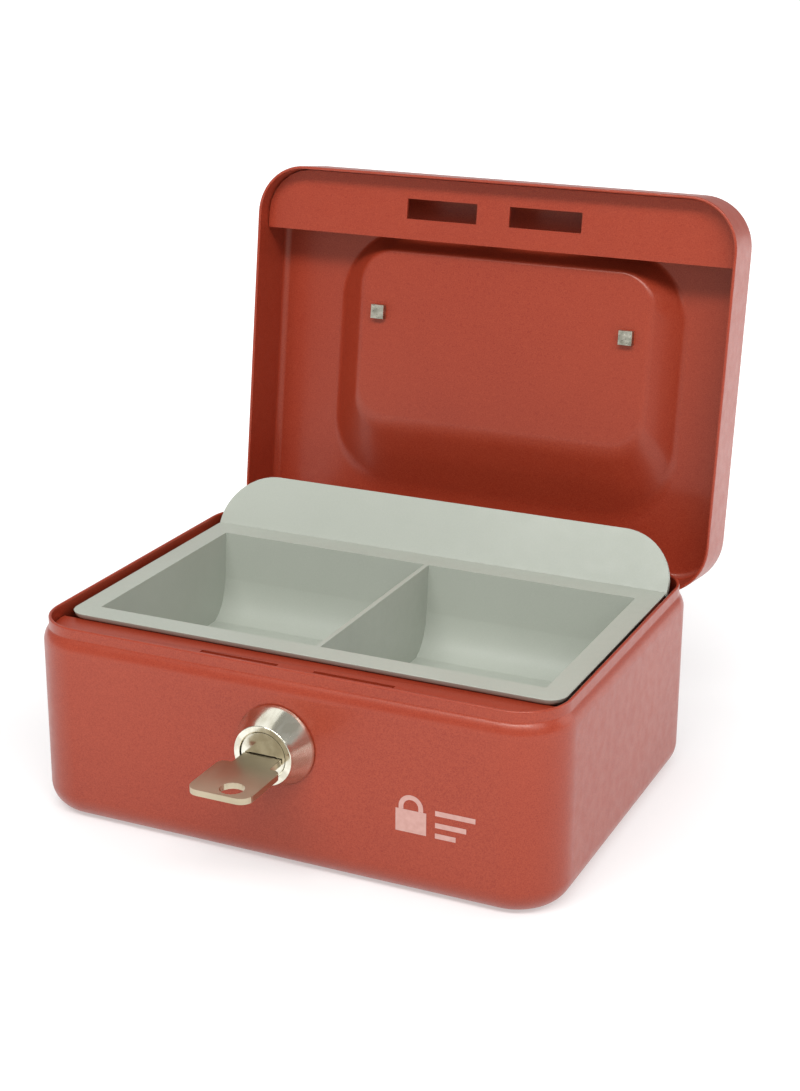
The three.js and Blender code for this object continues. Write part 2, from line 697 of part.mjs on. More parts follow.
function tray() {
  const depth = TRAY_REAR_Y - TRAY_FRONT_Y;
  const y = (TRAY_REAR_Y + TRAY_FRONT_Y) / 2;
  const outline = { width: TRAY_WIDTH, depth, radius: 5, y };
  const rim = pressing([
    { ...outline, z: TRAY_TOP_Z - TRAY_RIM },
    { ...outline, z: TRAY_TOP_Z },
  ]);
  const tubSide = pocketShape(TRAY_WALL, TRAY_TOP_Z - 0.5);
  const tub = plateYZ(tubSide, POCKETS.left - TRAY_WALL, POCKETS.right + TRAY_WALL);
  const pocket = (x0, x1) => plateYZ(pocketShape(0, TRAY_TOP_Z + 5), x0, x1);
  const leftPocket = pocket(POCKETS.left, POCKETS.divider - POCKETS.dividerHalf);
  const rightPocket = pocket(POCKETS.divider + POCKETS.dividerHalf, POCKETS.right);
  return cut(join(rim, tub, trayFlap()), leftPocket, rightPocket);
}

// ---------------------------------------------------------------- assembly
const cashBox = new THREE.Group();
cashBox.add(
  named("base_shell", baseShell(), PAINT),
  named("lock_cover", lockCover(), PAINT),
  named("tray_rest_left", trayRest(-1), PAINT),
  named("tray_rest_right", trayRest(1), PAINT),
  named("hinge_leaf_base", hingeLeaf(LEAF_LOW_Z, 0), PAINT),
  named("hinge_pin", hingePin(), ZINC),
  named("lock_housing", lockHousing(), CHROME),
  named("lock_nut", lockNut(), ZINC),
  named("lock_plug", lockPlug(), CHROME),
  named("lock_cam", cam(), ZINC),
  named("cam_screw", camScrew(), ZINC),
  named("key", key(), NICKEL),
  named("bolt_plate", boltPlate(), ZINC),
  named("guide_rivet_left", guideRivet(RIVETS[0]), ZINC),
  named("guide_rivet_right", guideRivet(RIVETS[1]), ZINC),
  named("coin_tray", tray(), TRAY_PLASTIC),
);
for (const number of wafers) {
  cashBox.add(named(`lock_wafer_${number + 1}`, wafer(number), BRASS));
}

// The lid's group turns about the hinge; its pieces keep their closed-box coordinates.
const lid = new THREE.Group();
const lidPieces = new THREE.Group();
lid.position.set(0, HINGE_Y, HINGE_Z);
lid.rotation.x = -OPEN_ANGLE;
lidPieces.position.set(0, -HINGE_Y, -HINGE_Z);
lid.add(lidPieces);
cashBox.add(lid);
lidPieces.add(
  named("lid_shell", lidShell(), PAINT),
  named("catch_strip", catchStrip(), PAINT),
  named("hinge_leaf_lid", hingeLeaf(LEAF_HIGH_Z, 1), PAINT),
  named("handle_post_left", handlePost(-1), ZINC),
  named("handle_post_right", handlePost(1), ZINC),
);

// The handle hangs plumb from its posts, a little away from the leaning lid.
const handle = named("handle", handleBail(), CHROME);
handle.position.set(RECESS_X, HANDLE_Y, HANDLE_Z);
handle.rotation.x = OPEN_ANGLE - Math.PI / 2;
lidPieces.add(handle);

export default cashBox;
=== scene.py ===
"""Looks of a small red steel cash box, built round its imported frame.

Pressed skins, a moulded tray, a chrome cam lock with its key, a wire handle, and their finishes.
Sizes are in millimetres here and turned into metres as each mesh is made.
"""
import itertools
import json
import math

import bpy
from mathutils import Matrix, Vector

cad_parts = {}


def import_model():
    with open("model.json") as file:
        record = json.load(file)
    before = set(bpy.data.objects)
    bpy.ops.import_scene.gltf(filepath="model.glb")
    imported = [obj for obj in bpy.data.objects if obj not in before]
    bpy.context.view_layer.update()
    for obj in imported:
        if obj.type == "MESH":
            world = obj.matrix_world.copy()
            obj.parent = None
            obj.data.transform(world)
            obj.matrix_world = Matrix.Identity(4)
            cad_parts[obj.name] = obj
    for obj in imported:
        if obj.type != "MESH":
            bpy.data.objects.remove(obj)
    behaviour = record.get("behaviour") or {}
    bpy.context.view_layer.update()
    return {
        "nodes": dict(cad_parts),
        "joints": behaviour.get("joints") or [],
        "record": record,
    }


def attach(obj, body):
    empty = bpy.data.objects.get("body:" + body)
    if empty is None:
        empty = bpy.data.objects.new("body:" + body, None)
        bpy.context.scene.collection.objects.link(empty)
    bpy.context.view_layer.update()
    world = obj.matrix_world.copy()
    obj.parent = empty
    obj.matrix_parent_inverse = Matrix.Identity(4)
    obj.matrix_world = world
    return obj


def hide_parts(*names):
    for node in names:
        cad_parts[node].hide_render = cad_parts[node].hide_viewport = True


MM = 0.001
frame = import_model()

# ---------------------------------------------------------------- sizes, as in the CAD part
WIDTH, DEPTH, CLOSED_HEIGHT = 152, 115, 71.3
SHEET = 0.9
CORNER = 15
FOOT_RADIUS = 7.5
NECK_INSET = 1.5
NECK_FOOT_Z, NECK_TOP_Z = 52.7, 55.8
BEAD_HEIGHT = 3.9  # of the gentle curve from the base's wall in to its neck
LID_RIM_Z = 52.4
LID_EDGE_RADIUS = 3
RECESS_X, RECESS_DEPTH = 2.5, 7.2
RECESS_EDGE = dict(width=111, depth=80, radius=22, y=1)
RECESS_FLOOR = dict(width=92.5, depth=52.8, radius=10, y=-6.9)
LOCK_X, LOCK_Z = 0.8, 35.3
LOCK_FACE_Y, PLUG_HEAD_BACK_Y, BARREL_END_Y = -65.2, -63.2, -51.5
BARREL_RADIUS, BARREL_BORE, WALL_HOLE = 8, 5.3, 8.3  # all radii
BEZEL = dict(mouth=6.5, face=8.2, neck=8.6, skirt=11)  # radii, from the plug's hole outwards
HINGE_Z = 45.45
HINGE_WINDOW = dict(half_width=45.6, half_height=2.1)
HANDLE_SPREAD, HANDLE_REACH, HANDLE_WIRE, HANDLE_STUB = 45.2, 30, 1.9, 1.3
HANDLE_SMALL_BEND, HANDLE_GRIP_BEND = 2.1, 8
POST_SPREAD, POST_HALF = 40.2, 2.5
TRAY = dict(width=143.2, front=-42.3, rear=45.4, top=54.2, floor=28.3, rim=1.6, wall=1.2, radius=5)
POCKETS = dict(left=-65, right=65, front=-35.3, rear=34.5, divider=1.5, half=0.7)
FLAP = dict(height=16.9, radius=16, lean=math.radians(36), y=42)
MARK_CENTRE = (38.4, 23.2)  # X and Z of the printed mark
INK_STAND_OFF = 0.03  # of the print from the wall

CORNER_STEPS = 14  # facets in each upright corner
FOLD = math.radians(35)  # sharper folds than this get a rounded edge
EDGE_WIDTH = {"key": 0.35, "lock_plug": 0.2, "catch_strip": 0.3, "lock_cover": 0.3}
OTHER_EDGE_WIDTH = 0.15

joints = {joint["name"]: joint for joint in frame["joints"]}

# ---------------------------------------------------------------- studio, in metres and watts
LIGHTS = (  # name, position, size, power
    ("key", (0.20, -0.90, 1.18), (1.4, 0.3), 18.5),
    ("right", (0.90, -0.50, 0.90), (0.5, 0.5), 2.5),
    ("side", (1.10, 0.75, 0.55), (0.9, 0.9), 4.5),
    ("back", (-0.55, 0.50, 1.20), (1.3, 1.3), 3.6),
)
LIGHT_TARGET = Vector((0, 0, 0.05))
WORLD_STRENGTH = 0.40
FLOOR_GLOW = dict(low=0.44, high=0.90, start=0.12, end=0.36)  # painted glow by distance from the box's middle, weaker near the box as painted shade round it
CAMERA_POSITION = (0.2231, -0.4673, 0.2521)
CAMERA_LENS = 66.24


# ---------------------------------------------------------------- mesh helpers
def rounded_rectangle(width, depth, radius, y=0.0, z=0.0, x=0.0):
    """Outline of a rectangle with round corners, centred on (x, y), as points at height z."""
    points = []
    for quarter, (sx, sy) in enumerate(((1, 1), (-1, 1), (-1, -1), (1, -1))):
        for step in range(CORNER_STEPS + 1):
            angle = (quarter + step / CORNER_STEPS) * math.pi / 2
            points.append(Vector((
                x + sx * (width / 2 - radius) + radius * math.cos(angle),
                y + sy * (depth / 2 - radius) + radius * math.sin(angle),
                z,
            )))
    return points


def box_ring(inset, z):
    """The box's own outline, drawn in by inset."""
    return rounded_rectangle(WIDTH - 2 * inset, DEPTH - 2 * inset, CORNER - inset, 0, z)


def arc(start, end, steps):
    """Angles from start to end, in quarter turns."""
    return [(start + (end - start) * step / steps) * math.pi / 2 for step in range(steps + 1)]


def edge_rings(inset, radius, face_z, up, start, end, steps):
    """Rings of a rounded edge; angle 0 is the flat face and one quarter turn the upright wall."""
    rings = []
    for angle in arc(start, end, steps):
        drawn_in = inset + radius * (1 - math.sin(angle))
        rings.append(box_ring(drawn_in, face_z + up * radius * (1 - math.cos(angle))))
    return rings


def mesh_object(name, points, faces):
    """A smooth-shaded object from points in millimetres."""
    mesh = bpy.data.meshes.new(name)
    mesh.from_pydata([Vector(p) * MM for p in points], [], faces)
    mesh.validate()
    mesh.shade_smooth()
    obj = bpy.data.objects.new(name, mesh)
    bpy.context.scene.collection.objects.link(obj)
    return obj


def loft(name, rings, closed=False):
    """A skin through rings of equal point counts: capped at both ends, or closed into a loop."""
    count = len(rings[0])
    points = [p for ring in rings for p in ring]
    faces = []
    for r in range(len(rings) if closed else len(rings) - 1):
        low, high = r * count, (r + 1) % len(rings) * count
        for i in range(count):
            j = (i + 1) % count
            faces.append((low + i, low + j, high + j, high + i))
    if not closed:
        faces.append(tuple(reversed(range(count))))
        faces.append(tuple(range(len(points) - count, len(points))))
    return mesh_object(name, points, faces)


def weigh_normals(obj):
    """Large flat faces keep flat shading beside small rounded ones."""
    modifier = obj.modifiers.new("weighted", "WEIGHTED_NORMAL")
    modifier.weight = 100
    modifier.keep_sharp = True


def sharp_by_angle(obj, degrees):
    obj.data.set_sharp_from_angle(angle=math.radians(degrees))


def soften(obj, width, segments=2):
    """A small rounded edge on every sharp fold, after merging the facets of flat faces."""
    planar = obj.modifiers.new("planar", "DECIMATE")
    planar.decimate_type = "DISSOLVE"
    planar.angle_limit = math.radians(0.5)
    bevel = obj.modifiers.new("edge", "BEVEL")
    bevel.width = width * MM
    bevel.segments = segments
    bevel.limit_method = "ANGLE"
    bevel.angle_limit = FOLD
    bevel.use_clamp_overlap = True
    obj.data.shade_smooth()
    weigh_normals(obj)


def block(name, low, high):
    """A plain box between two corners, used only as a cutter."""
    spans = zip(low, high)
    points = list(itertools.product(*spans))
    faces = [(0, 1, 3, 2), (4, 6, 7, 5), (0, 4, 5, 1), (2, 3, 7, 6), (0, 2, 6, 4), (1, 5, 7, 3)]
    return mesh_object(name, points, faces)


def baked(obj):
    """Replaces obj's mesh by the one its modifiers make."""
    graph = bpy.context.evaluated_depsgraph_get()
    obj.data = bpy.data.meshes.new_from_object(obj.evaluated_get(graph))
    obj.modifiers.clear()
    return obj


def carve(obj, *cutters):
    """Takes the cutters out of obj, and removes them."""
    for cutter in cutters:
        modifier = obj.modifiers.new("cut", "BOOLEAN")
        modifier.object = cutter
        modifier.solver = "EXACT"
    baked(obj)
    for cutter in cutters:
        bpy.data.objects.remove(cutter)
    return obj


def fuse(obj, *others):
    """Joins the others to obj, and removes them."""
    for other in others:
        modifier = obj.modifiers.new("join", "BOOLEAN")
        modifier.operation = "UNION"
        modifier.object = other
        modifier.solver = "EXACT"
    baked(obj)
    for other in others:
        bpy.data.objects.remove(other)
    return obj


def prism_x(name, outline, x0, x1):
    """An outline in Y and Z, counterclockwise from +X, drawn out from x0 to x1."""
    return loft(name, [[Vector((x, y, z)) for y, z in outline] for x in (x0, x1)])


def bend(a, b, c, steps):
    """Points of a curve from a to c that leaves and arrives along the lines to b."""
    for step in range(steps + 1):
        t = step / steps
        yield tuple((1 - t) ** 2 * p + 2 * t * (1 - t) * q + t * t * r for p, q, r in zip(a, b, c))


def ring_y(radius, y, steps=96):
    """A circle round the lock's axis."""
    turn = 2 * math.pi / steps
    centre = Vector((LOCK_X, y, LOCK_Z))
    return [centre + radius * Vector((math.cos(i * turn), 0, math.sin(i * turn))) for i in range(steps)]


def lid_open_matrix():
    """Turns a piece drawn on the shut lid to where the open lid is."""
    hinge = joints["lid_hinge"]
    pivot = Vector(hinge["pos_m"])
    turn = Matrix.Rotation(-math.radians(hinge["range_deg"][0]), 4, Vector(hinge["axis"]))
    return Matrix.Translation(pivot) @ turn @ Matrix.Translation(-pivot)


def place(obj, body, slot, *nodes):
    """Rides obj on its body and lets it stand for its CAD nodes."""
    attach(obj, body)
    if nodes:
        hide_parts(*nodes)
    return obj


# ---------------------------------------------------------------- finishes
MIX_COLORS, MIX_RESULT = (6, 7), 2  # sockets of the Mix node when it mixes colours


class Finish:
    """A Principled material with its noise and bump helpers."""

    def __init__(self, name, metallic=0.0, roughness=0.5):
        self.material = bpy.data.materials.new(name)
        self.material.use_nodes = True
        self.tree = self.material.node_tree
        self.shader = self.tree.nodes["Principled BSDF"]
        self.shader.inputs["Metallic"].default_value = metallic
        self.shader.inputs["Roughness"].default_value = roughness
        self.coordinates = self.tree.nodes.new("ShaderNodeTexCoord").outputs["Object"]
        self.normal = None

    def node(self, kind, **values):
        made = self.tree.nodes.new(kind)
        for key, value in values.items():
            setattr(made, key, value)
        return made

    def link(self, source, target):
        self.tree.links.new(source, target)

    def noise(self, scale, detail=2.0, stretch=(1, 1, 1)):
        mapping = self.node("ShaderNodeMapping")
        mapping.inputs["Scale"].default_value = stretch
        self.link(self.coordinates, mapping.inputs["Vector"])
        noise = self.node("ShaderNodeTexNoise")
        noise.inputs["Scale"].default_value = scale
        noise.inputs["Detail"].default_value = detail
        self.link(mapping.outputs["Vector"], noise.inputs["Vector"])
        return noise.outputs["Fac"]

    def spread(self, source, low, high, start=0.3, end=0.7):
        """Maps the middle of a noise to a range of values."""
        ranged = self.node("ShaderNodeMapRange")
        ranged.inputs["From Min"].default_value = start
        ranged.inputs["From Max"].default_value = end
        ranged.inputs["To Min"].default_value = low
        ranged.inputs["To Max"].default_value = high
        self.link(source, ranged.inputs["Value"])
        return ranged.outputs["Result"]

    def mix(self, share, a, b):
        """Mixes two colours, each a tuple or a socket."""
        mixed = self.node("ShaderNodeMix", data_type="RGBA")
        for value, index in zip((a, b), MIX_COLORS):
            socket = mixed.inputs[index]
            if isinstance(value, tuple):
                socket.default_value = (*value, 1)
            else:
                self.link(value, socket)
        self.link(share, mixed.inputs[0])
        return mixed.outputs[MIX_RESULT]

    def bump(self, height, strength, distance):
        bump = self.node("ShaderNodeBump")
        bump.inputs["Strength"].default_value = strength
        bump.inputs["Distance"].default_value = distance
        self.link(height, bump.inputs["Height"])
        if self.normal is not None:
            self.link(self.normal, bump.inputs["Normal"])
        self.normal = bump.outputs["Normal"]
        self.link(self.normal, self.shader.inputs["Normal"])

    def color(self, source):
        self.link(source, self.shader.inputs["Base Color"])

    def roughness(self, source):
        self.link(source, self.shader.inputs["Roughness"])


def paint_finish():
    """Satin brick-red stoving paint: a very fine grain and slight orange peel."""
    f = Finish("red_paint")
    grain = f.noise(3400, 2)
    cloud = f.noise(28, 3)
    red = f.mix(f.spread(cloud, 0, 1), (0.236, 0.020, 0.008), (0.262, 0.026, 0.010))
    f.color(f.mix(f.spread(grain, 0, 0.6), red, (0.420, 0.066, 0.029)))
    f.roughness(f.spread(f.noise(300, 2), 0.34, 0.42))
    f.bump(f.noise(620, 2), 0.06, 0.0002)
    f.bump(grain, 0.22, 0.00006)
    f.shader.inputs["Specular IOR Level"].default_value = 0.46
    f.shader.inputs["Specular Tint"].default_value = (1, 0.80, 0.68, 1)
    f.shader.inputs["Coat Weight"].default_value = 0.22
    f.shader.inputs["Coat Roughness"].default_value = 0.18
    return f.material


def tray_finish():
    """Warm light-grey moulded polystyrene with faint flow clouding and a satin skin."""
    f = Finish("tray_plastic")
    cloud = f.noise(22, 3)
    grain = f.noise(3000, 2)
    grey = f.mix(f.spread(cloud, 0, 1), (0.358, 0.384, 0.330), (0.392, 0.418, 0.362))
    f.color(f.mix(f.spread(grain, 0, 0.25), grey, (0.46, 0.48, 0.42)))
    f.roughness(f.spread(f.noise(300, 2), 0.40, 0.52))
    f.bump(grain, 0.10, 0.00004)
    return f.material


def chrome_finish():
    """Bright chrome plate with faint polishing marks along the lock's axis."""
    f = Finish("bright_chrome", metallic=1.0)
    streaks = f.noise(330, 2, (1, 0.04, 1))
    f.color(f.mix(f.spread(streaks, 0, 1, 0.40, 0.62), (0.68, 0.65, 0.53), (0.86, 0.84, 0.72)))
    f.roughness(f.spread(f.noise(900, 3, (1, 6, 1)), 0.10, 0.20))
    f.bump(f.noise(700, 2, (1, 0.1, 1)), 0.10, 0.00008)
    return f.material


def zinc_finish():
    """Bright zinc plate on stamped steel, with a mottled passivated tint."""
    f = Finish("zinc_plate", metallic=1.0)
    spangle = f.noise(420, 3)
    f.color(f.mix(f.spread(spangle, 0, 1), (0.30, 0.29, 0.23), (0.58, 0.56, 0.47)))
    f.roughness(f.spread(f.noise(1300, 3), 0.22, 0.42))
    f.bump(f.noise(900, 3), 0.5, 0.0002)
    return f.material


def brass_finish():
    """Turned brass of the tumblers."""
    f = Finish("brass", metallic=1.0)
    f.color(f.mix(f.spread(f.noise(500, 3), 0, 1), (0.56, 0.37, 0.13), (0.70, 0.50, 0.20)))
    f.roughness(f.spread(f.noise(1500, 2), 0.22, 0.38))
    f.bump(f.noise(1500, 2, (1, 1, 6)), 0.10, 0.00004)
    return f.material


def key_finish():
    """Warm nickel plate, smooth with faint lengthways polishing."""
    f = Finish("key_nickel", metallic=1.0)
    brushed = f.noise(260, 2, (3, 0.5, 3))
    f.color(f.mix(f.spread(f.noise(90, 3), 0, 1), (0.47, 0.40, 0.28), (0.55, 0.47, 0.34)))
    f.roughness(f.spread(brushed, 0.31, 0.35))
    f.bump(brushed, 0.05, 0.00003)
    return f.material


def print_finish():
    """Pale printed ink, slightly uneven."""
    f = Finish("pale_ink", roughness=0.55)
    f.color(f.mix(f.spread(f.noise(700, 3), 0, 1), (0.50, 0.27, 0.23), (0.56, 0.32, 0.28)))
    f.roughness(f.spread(f.noise(900, 2), 0.45, 0.6))
    return f.material


FINISHES = {
    "red_paint": paint_finish(),
    "tray_plastic": tray_finish(),
    "bright_chrome": chrome_finish(),
    "zinc_plate": zinc_finish(),
    "brass": brass_finish(),
    "key_nickel": key_finish(),
}


def dress(obj, slot):
    obj.data.materials.clear()
    obj.data.materials.append(FINISHES[slot])


# ---------------------------------------------------------------- pressed skins
def bead_rings(steps):
    """The gentle curve from the top of the base's wall in to the foot of its neck."""
    radius = (BEAD_HEIGHT ** 2 + NECK_INSET ** 2) / (2 * NECK_INSET)
    sweep = math.asin(BEAD_HEIGHT / radius)
    rings = []
    for step in range(steps + 1):
        angle = sweep * step / steps
        z = NECK_FOOT_Z - BEAD_HEIGHT + radius * math.sin(angle)
        rings.append(box_ring(radius * (1 - math.cos(angle)), z))
    return rings


def lock_hole():
    """Cutter for the round hole in the front wall."""
    return loft("hole", [ring_y(WALL_HOLE, -DEPTH / 2 + 2), ring_y(WALL_HOLE, -DEPTH / 2 - 2)])


def hinge_window():
    """Cutter for the opening in the rear wall, behind the hinge's leaf."""
    half_width, half_height = HINGE_WINDOW["half_width"], HINGE_WINDOW["half_height"]
    low = (-half_width, DEPTH / 2 - 2, HINGE_Z - half_height)
    return block("window", low, (half_width, DEPTH / 2 + 1, HINGE_Z + half_height))


def base_skin():
    """The base: flat bottom, rounded foot, long rolled shoulder, upright neck with a rounded rim."""
    inner = NECK_INSET + SHEET
    bead_foot = NECK_FOOT_Z - BEAD_HEIGHT
    lip = SHEET / 2
    middle = FOOT_RADIUS + 6  # inset of the bottom's flat middle
    rings = [box_ring(middle, 0)]
    rings += edge_rings(0, FOOT_RADIUS, 0, 1, 0, 1, 10)
    rings += bead_rings(10)
    rings += [box_ring(NECK_INSET, NECK_FOOT_Z + 0.25), box_ring(NECK_INSET, NECK_TOP_Z - lip)]
    for angle in arc(0.2, 1.8, 6):
        inset = NECK_INSET + lip - lip * math.cos(angle)
        rings.append(box_ring(inset, NECK_TOP_Z - lip + lip * math.sin(angle)))
    # Down the inside: the neck, a short slope out to the wall, and the foot.
    rings += [box_ring(inner, NECK_TOP_Z - lip), box_ring(inner, bead_foot + 1.6)]
    rings += [box_ring(SHEET, bead_foot - 0.6)]
    rings += edge_rings(SHEET, FOOT_RADIUS - SHEET, SHEET, 1, 1, 0, 10)
    rings += [box_ring(middle, SHEET)]
    skin = loft("base_skin", rings)
    carve(skin, lock_hole(), hinge_window())
    sharp_by_angle(skin, 40)
    weigh_normals(skin)
    return place(skin, "base", "red_paint", "base_shell")


def ramp(steps):
    """Side view of a pressed slope, from (0, 0) at its edge to (1, 1) at its floor, corners rounded."""
    edge = bend((-0.14, 0), (0, 0), (0.14, 0.14), steps)
    foot = bend((0.84, 0.84), (1, 1), (1.16, 1), steps)
    return [*edge, *foot]


def recess_rings(top_z, grow):
    """The pressed handle recess from its edge to its floor."""
    rings = []
    for across, down in ramp(6):
        size = {key: edge + (RECESS_FLOOR[key] - edge) * across for key, edge in RECESS_EDGE.items()}
        rings.append(rounded_rectangle(
            size["width"] + grow, size["depth"] + grow, size["radius"], size["y"],
            top_z - RECESS_DEPTH * down, RECESS_X,
        ))
    return rings


def lid_skin():
    """The lid, drawn shut and swung open: rounded top edge, pressed recess and a rolled rim."""
    inner_top = CLOSED_HEIGHT - SHEET
    lip = SHEET / 2
    # The flat middle of the recess's floor, inside its rounded border.
    inside_floor = rounded_rectangle(
        RECESS_FLOOR["width"] - 16, RECESS_FLOOR["depth"] - 20, 6, RECESS_FLOOR["y"],
        inner_top - RECESS_DEPTH, RECESS_X,
    )
    outside_floor = [p + Vector((0, 0, SHEET)) for p in inside_floor]
    rings = [inside_floor]
    rings += list(reversed(recess_rings(inner_top, 1)))
    rings += edge_rings(SHEET, LID_EDGE_RADIUS - SHEET, inner_top, -1, 0, 1, 6)
    for angle in arc(0, 2, 6):
        rings.append(box_ring(lip + lip * math.cos(angle), LID_RIM_Z + lip - lip * math.sin(angle)))
    rings += edge_rings(0, LID_EDGE_RADIUS, CLOSED_HEIGHT, -1, 1, 0, 6)
    rings += recess_rings(CLOSED_HEIGHT, 0)
    rings += [outside_floor]
    skin = loft("lid_skin", rings)
    skin.data.transform(lid_open_matrix())
    sharp_by_angle(skin, 40)
    weigh_normals(skin)
    return place(skin, "lid", "red_paint", "lid_shell")


# ---------------------------------------------------------------- lock
def bezel():
    """The chrome cone: a bore for the plug's head inside a flat front band, and a flared skirt."""
    seat = -DEPTH / 2 - 0.3
    mouth, skirt = BEZEL["mouth"], BEZEL["skirt"]
    inner_lip, outer_lip = 0.15, 0.3
    rings = [ring_y(BARREL_BORE, PLUG_HEAD_BACK_Y + 0.3), ring_y(mouth, PLUG_HEAD_BACK_Y + 0.3)]
    for angle in arc(0, 1, 4):
        radius = mouth + inner_lip * (1 - math.cos(angle))
        rings.append(ring_y(radius, LOCK_FACE_Y + inner_lip * (1 - math.sin(angle))))
    for angle in arc(0, 0.7, 5):
        radius = BEZEL["face"] - outer_lip * (1 - math.sin(angle))
        rings.append(ring_y(radius, LOCK_FACE_Y + outer_lip * (1 - math.cos(angle))))
    rings += [ring_y(BEZEL["neck"], LOCK_FACE_Y + 1.4), ring_y(skirt - 0.3, seat - 1.1)]
    rings += [ring_y(skirt, seat - 0.5), ring_y(skirt, seat)]
    rings += [ring_y(BARREL_RADIUS, seat), ring_y(BARREL_RADIUS, BARREL_END_Y)]
    rings += [ring_y(BARREL_BORE, BARREL_END_Y)]
    made = loft("lock_bezel", rings, closed=True)
    sharp_by_angle(made, 50)
    weigh_normals(made)
    return place(made, "base", "bright_chrome", "lock_housing")


# ---------------------------------------------------------------- tray
def pocket_outline(grow, top):
    """Side view of a pocket: upright front, flat floor, and a rear wall that sweeps forward to it."""
    floor, front, rear = TRAY["floor"] - grow, POCKETS["front"] - grow, POCKETS["rear"] + grow
    outline = [(rear, top), (front, top)]
    outline += bend((front, floor + 3), (front, floor), (front + 3, floor), 8)
    outline += bend((rear - 9, floor), (rear - 3, floor + 2), (rear - 1.5, floor + 12), 28)
    return outline


def tray_flap():
    """The leaf along the tray's rear edge, leaning back, its top corners round."""
    half, radius, height = TRAY["width"] / 2, FLAP["radius"], FLAP["height"]
    outline = [(-half, -1), (half, -1)]
    for side, start in ((1, 0), (-1, 1)):
        for angle in arc(start, start + 1, 20):
            outline.append((side * (half - radius) + radius * math.cos(angle),
                            height - radius + radius * math.sin(angle)))
    rings = [[Vector((x, y, z)) for x, z in outline] for y in (TRAY["rim"], 0)]
    leaf = loft("flap", rings)
    seat = Matrix.Translation((0, FLAP["y"] * MM, TRAY["top"] * MM))
    leaf.data.transform(seat @ Matrix.Rotation(-FLAP["lean"], 4, "X"))
    return leaf


def tray_rim():
    """The flat plate round the pockets, with drafted edges."""
    depth, middle = TRAY["rear"] - TRAY["front"], (TRAY["rear"] + TRAY["front"]) / 2
    low, top = TRAY["top"] - TRAY["rim"], TRAY["top"]
    rings = []
    for inset, z in ((0.8, low), (0.35, low + 0.5), (0.1, top - 0.4), (0, top - 0.15), (0.12, top)):
        width, length = TRAY["width"] - 2 * inset, depth - 2 * inset
        rings.append(rounded_rectangle(width, length, TRAY["radius"] - inset, middle, z))
    return loft("tray_skin", rings)


def tray():
    """The coin tray: drafted rim, one tub with two crisp-edged pockets, and the leaning flap."""
    top, wall = TRAY["top"], TRAY["wall"]
    left, right, divider, half = (POCKETS[key] for key in ("left", "right", "divider", "half"))
    rim = tray_rim()
    tub = prism_x("tub", pocket_outline(wall, top - 0.5), left - wall, right + wall)
    fuse(rim, tub, tray_flap())
    spans = (left, divider - half), (divider + half, right)
    carve(rim, *(prism_x("pocket", pocket_outline(0, top + 5), *span) for span in spans))
    soften(rim, 0.22)
    sharp_by_angle(rim, 60)
    return place(rim, "tray", "tray_plastic", "coin_tray")


# ---------------------------------------------------------------- handle
def wire(name, points, radii):
    """A round wire through points, as a mesh."""
    curve = bpy.data.curves.new(name, "CURVE")
    curve.dimensions = "3D"
    curve.bevel_depth = MM
    curve.bevel_resolution = 8
    curve.use_fill_caps = True
    spline = curve.splines.new("POLY")
    spline.points.add(len(points) - 1)
    for target, point, radius in zip(spline.points, points, radii):
        target.co = (*(Vector(point) * MM), 1)
        target.radius = radius
    source = bpy.data.objects.new(name, curve)
    bpy.context.scene.collection.objects.link(source)
    graph = bpy.context.evaluated_depsgraph_get()
    mesh = bpy.data.meshes.new_from_object(source.evaluated_get(graph))
    bpy.data.objects.remove(source)
    mesh.shade_smooth()
    obj = bpy.data.objects.new(name, mesh)
    bpy.context.scene.collection.objects.link(obj)
    return obj


def handle():
    """One bent wire: a thin stub in each post, a small bend, a leg and a rounded grip bar."""
    pivot = Vector(joints["handle_swing"]["pos_m"]) / MM
    left = [(-(POST_SPREAD - POST_HALF - 0.8), 0), (-(POST_SPREAD + POST_HALF + 0.3), 0)]
    radius = HANDLE_SMALL_BEND
    x, drop = HANDLE_SPREAD - radius, radius
    left += [(-x - radius * math.sin(a), drop - radius * math.cos(a)) for a in arc(0, 1, 8)]
    radius = HANDLE_GRIP_BEND
    x, drop = HANDLE_SPREAD - radius, HANDLE_REACH - radius
    left += [(-x - radius * math.cos(a), drop + radius * math.sin(a)) for a in arc(0, 1, 12)]
    outline = left + [(-x, drop) for x, drop in reversed(left)]
    radii = [HANDLE_STUB] * 2 + [HANDLE_WIRE] * (len(outline) - 4) + [HANDLE_STUB] * 2
    points = [(pivot.x + x, pivot.y, pivot.z - drop) for x, drop in outline]
    made = wire("handle_wire", points, radii)
    weigh_normals(made)
    return place(made, "handle", "bright_chrome", "handle")


# ---------------------------------------------------------------- printed mark
def rectangle(x0, x1, z0, z1):
    """Corners of an upright rectangle, in X and Z."""
    return [Vector(p) for p in ((x0, z0), (x1, z0), (x1, z1), (x0, z1))]


def band(path, width):
    """Quads of a band of that width along path."""
    half = width / 2
    sides = ([], [])
    for i, point in enumerate(path):
        before, after = path[max(i - 1, 0)], path[min(i + 1, len(path) - 1)]
        along = (after - before).normalized()
        across = Vector((-along.y, along.x)) * half
        sides[0].append(point + across)
        sides[1].append(point - across)
    one, other = sides
    return [[one[i], one[i + 1], other[i + 1], other[i]] for i in range(len(path) - 1)]


def flat_print(name, outlines):
    """Ink shapes drawn in X and Z, a hair's breadth in front of the box's front wall."""
    points, faces = [], []
    for outline in outlines:
        faces.append(tuple(range(len(points), len(points) + len(outline))))
        points += [(p.x, -DEPTH / 2 - INK_STAND_OFF, p.y) for p in outline]
    return mesh_object(name, points, faces)


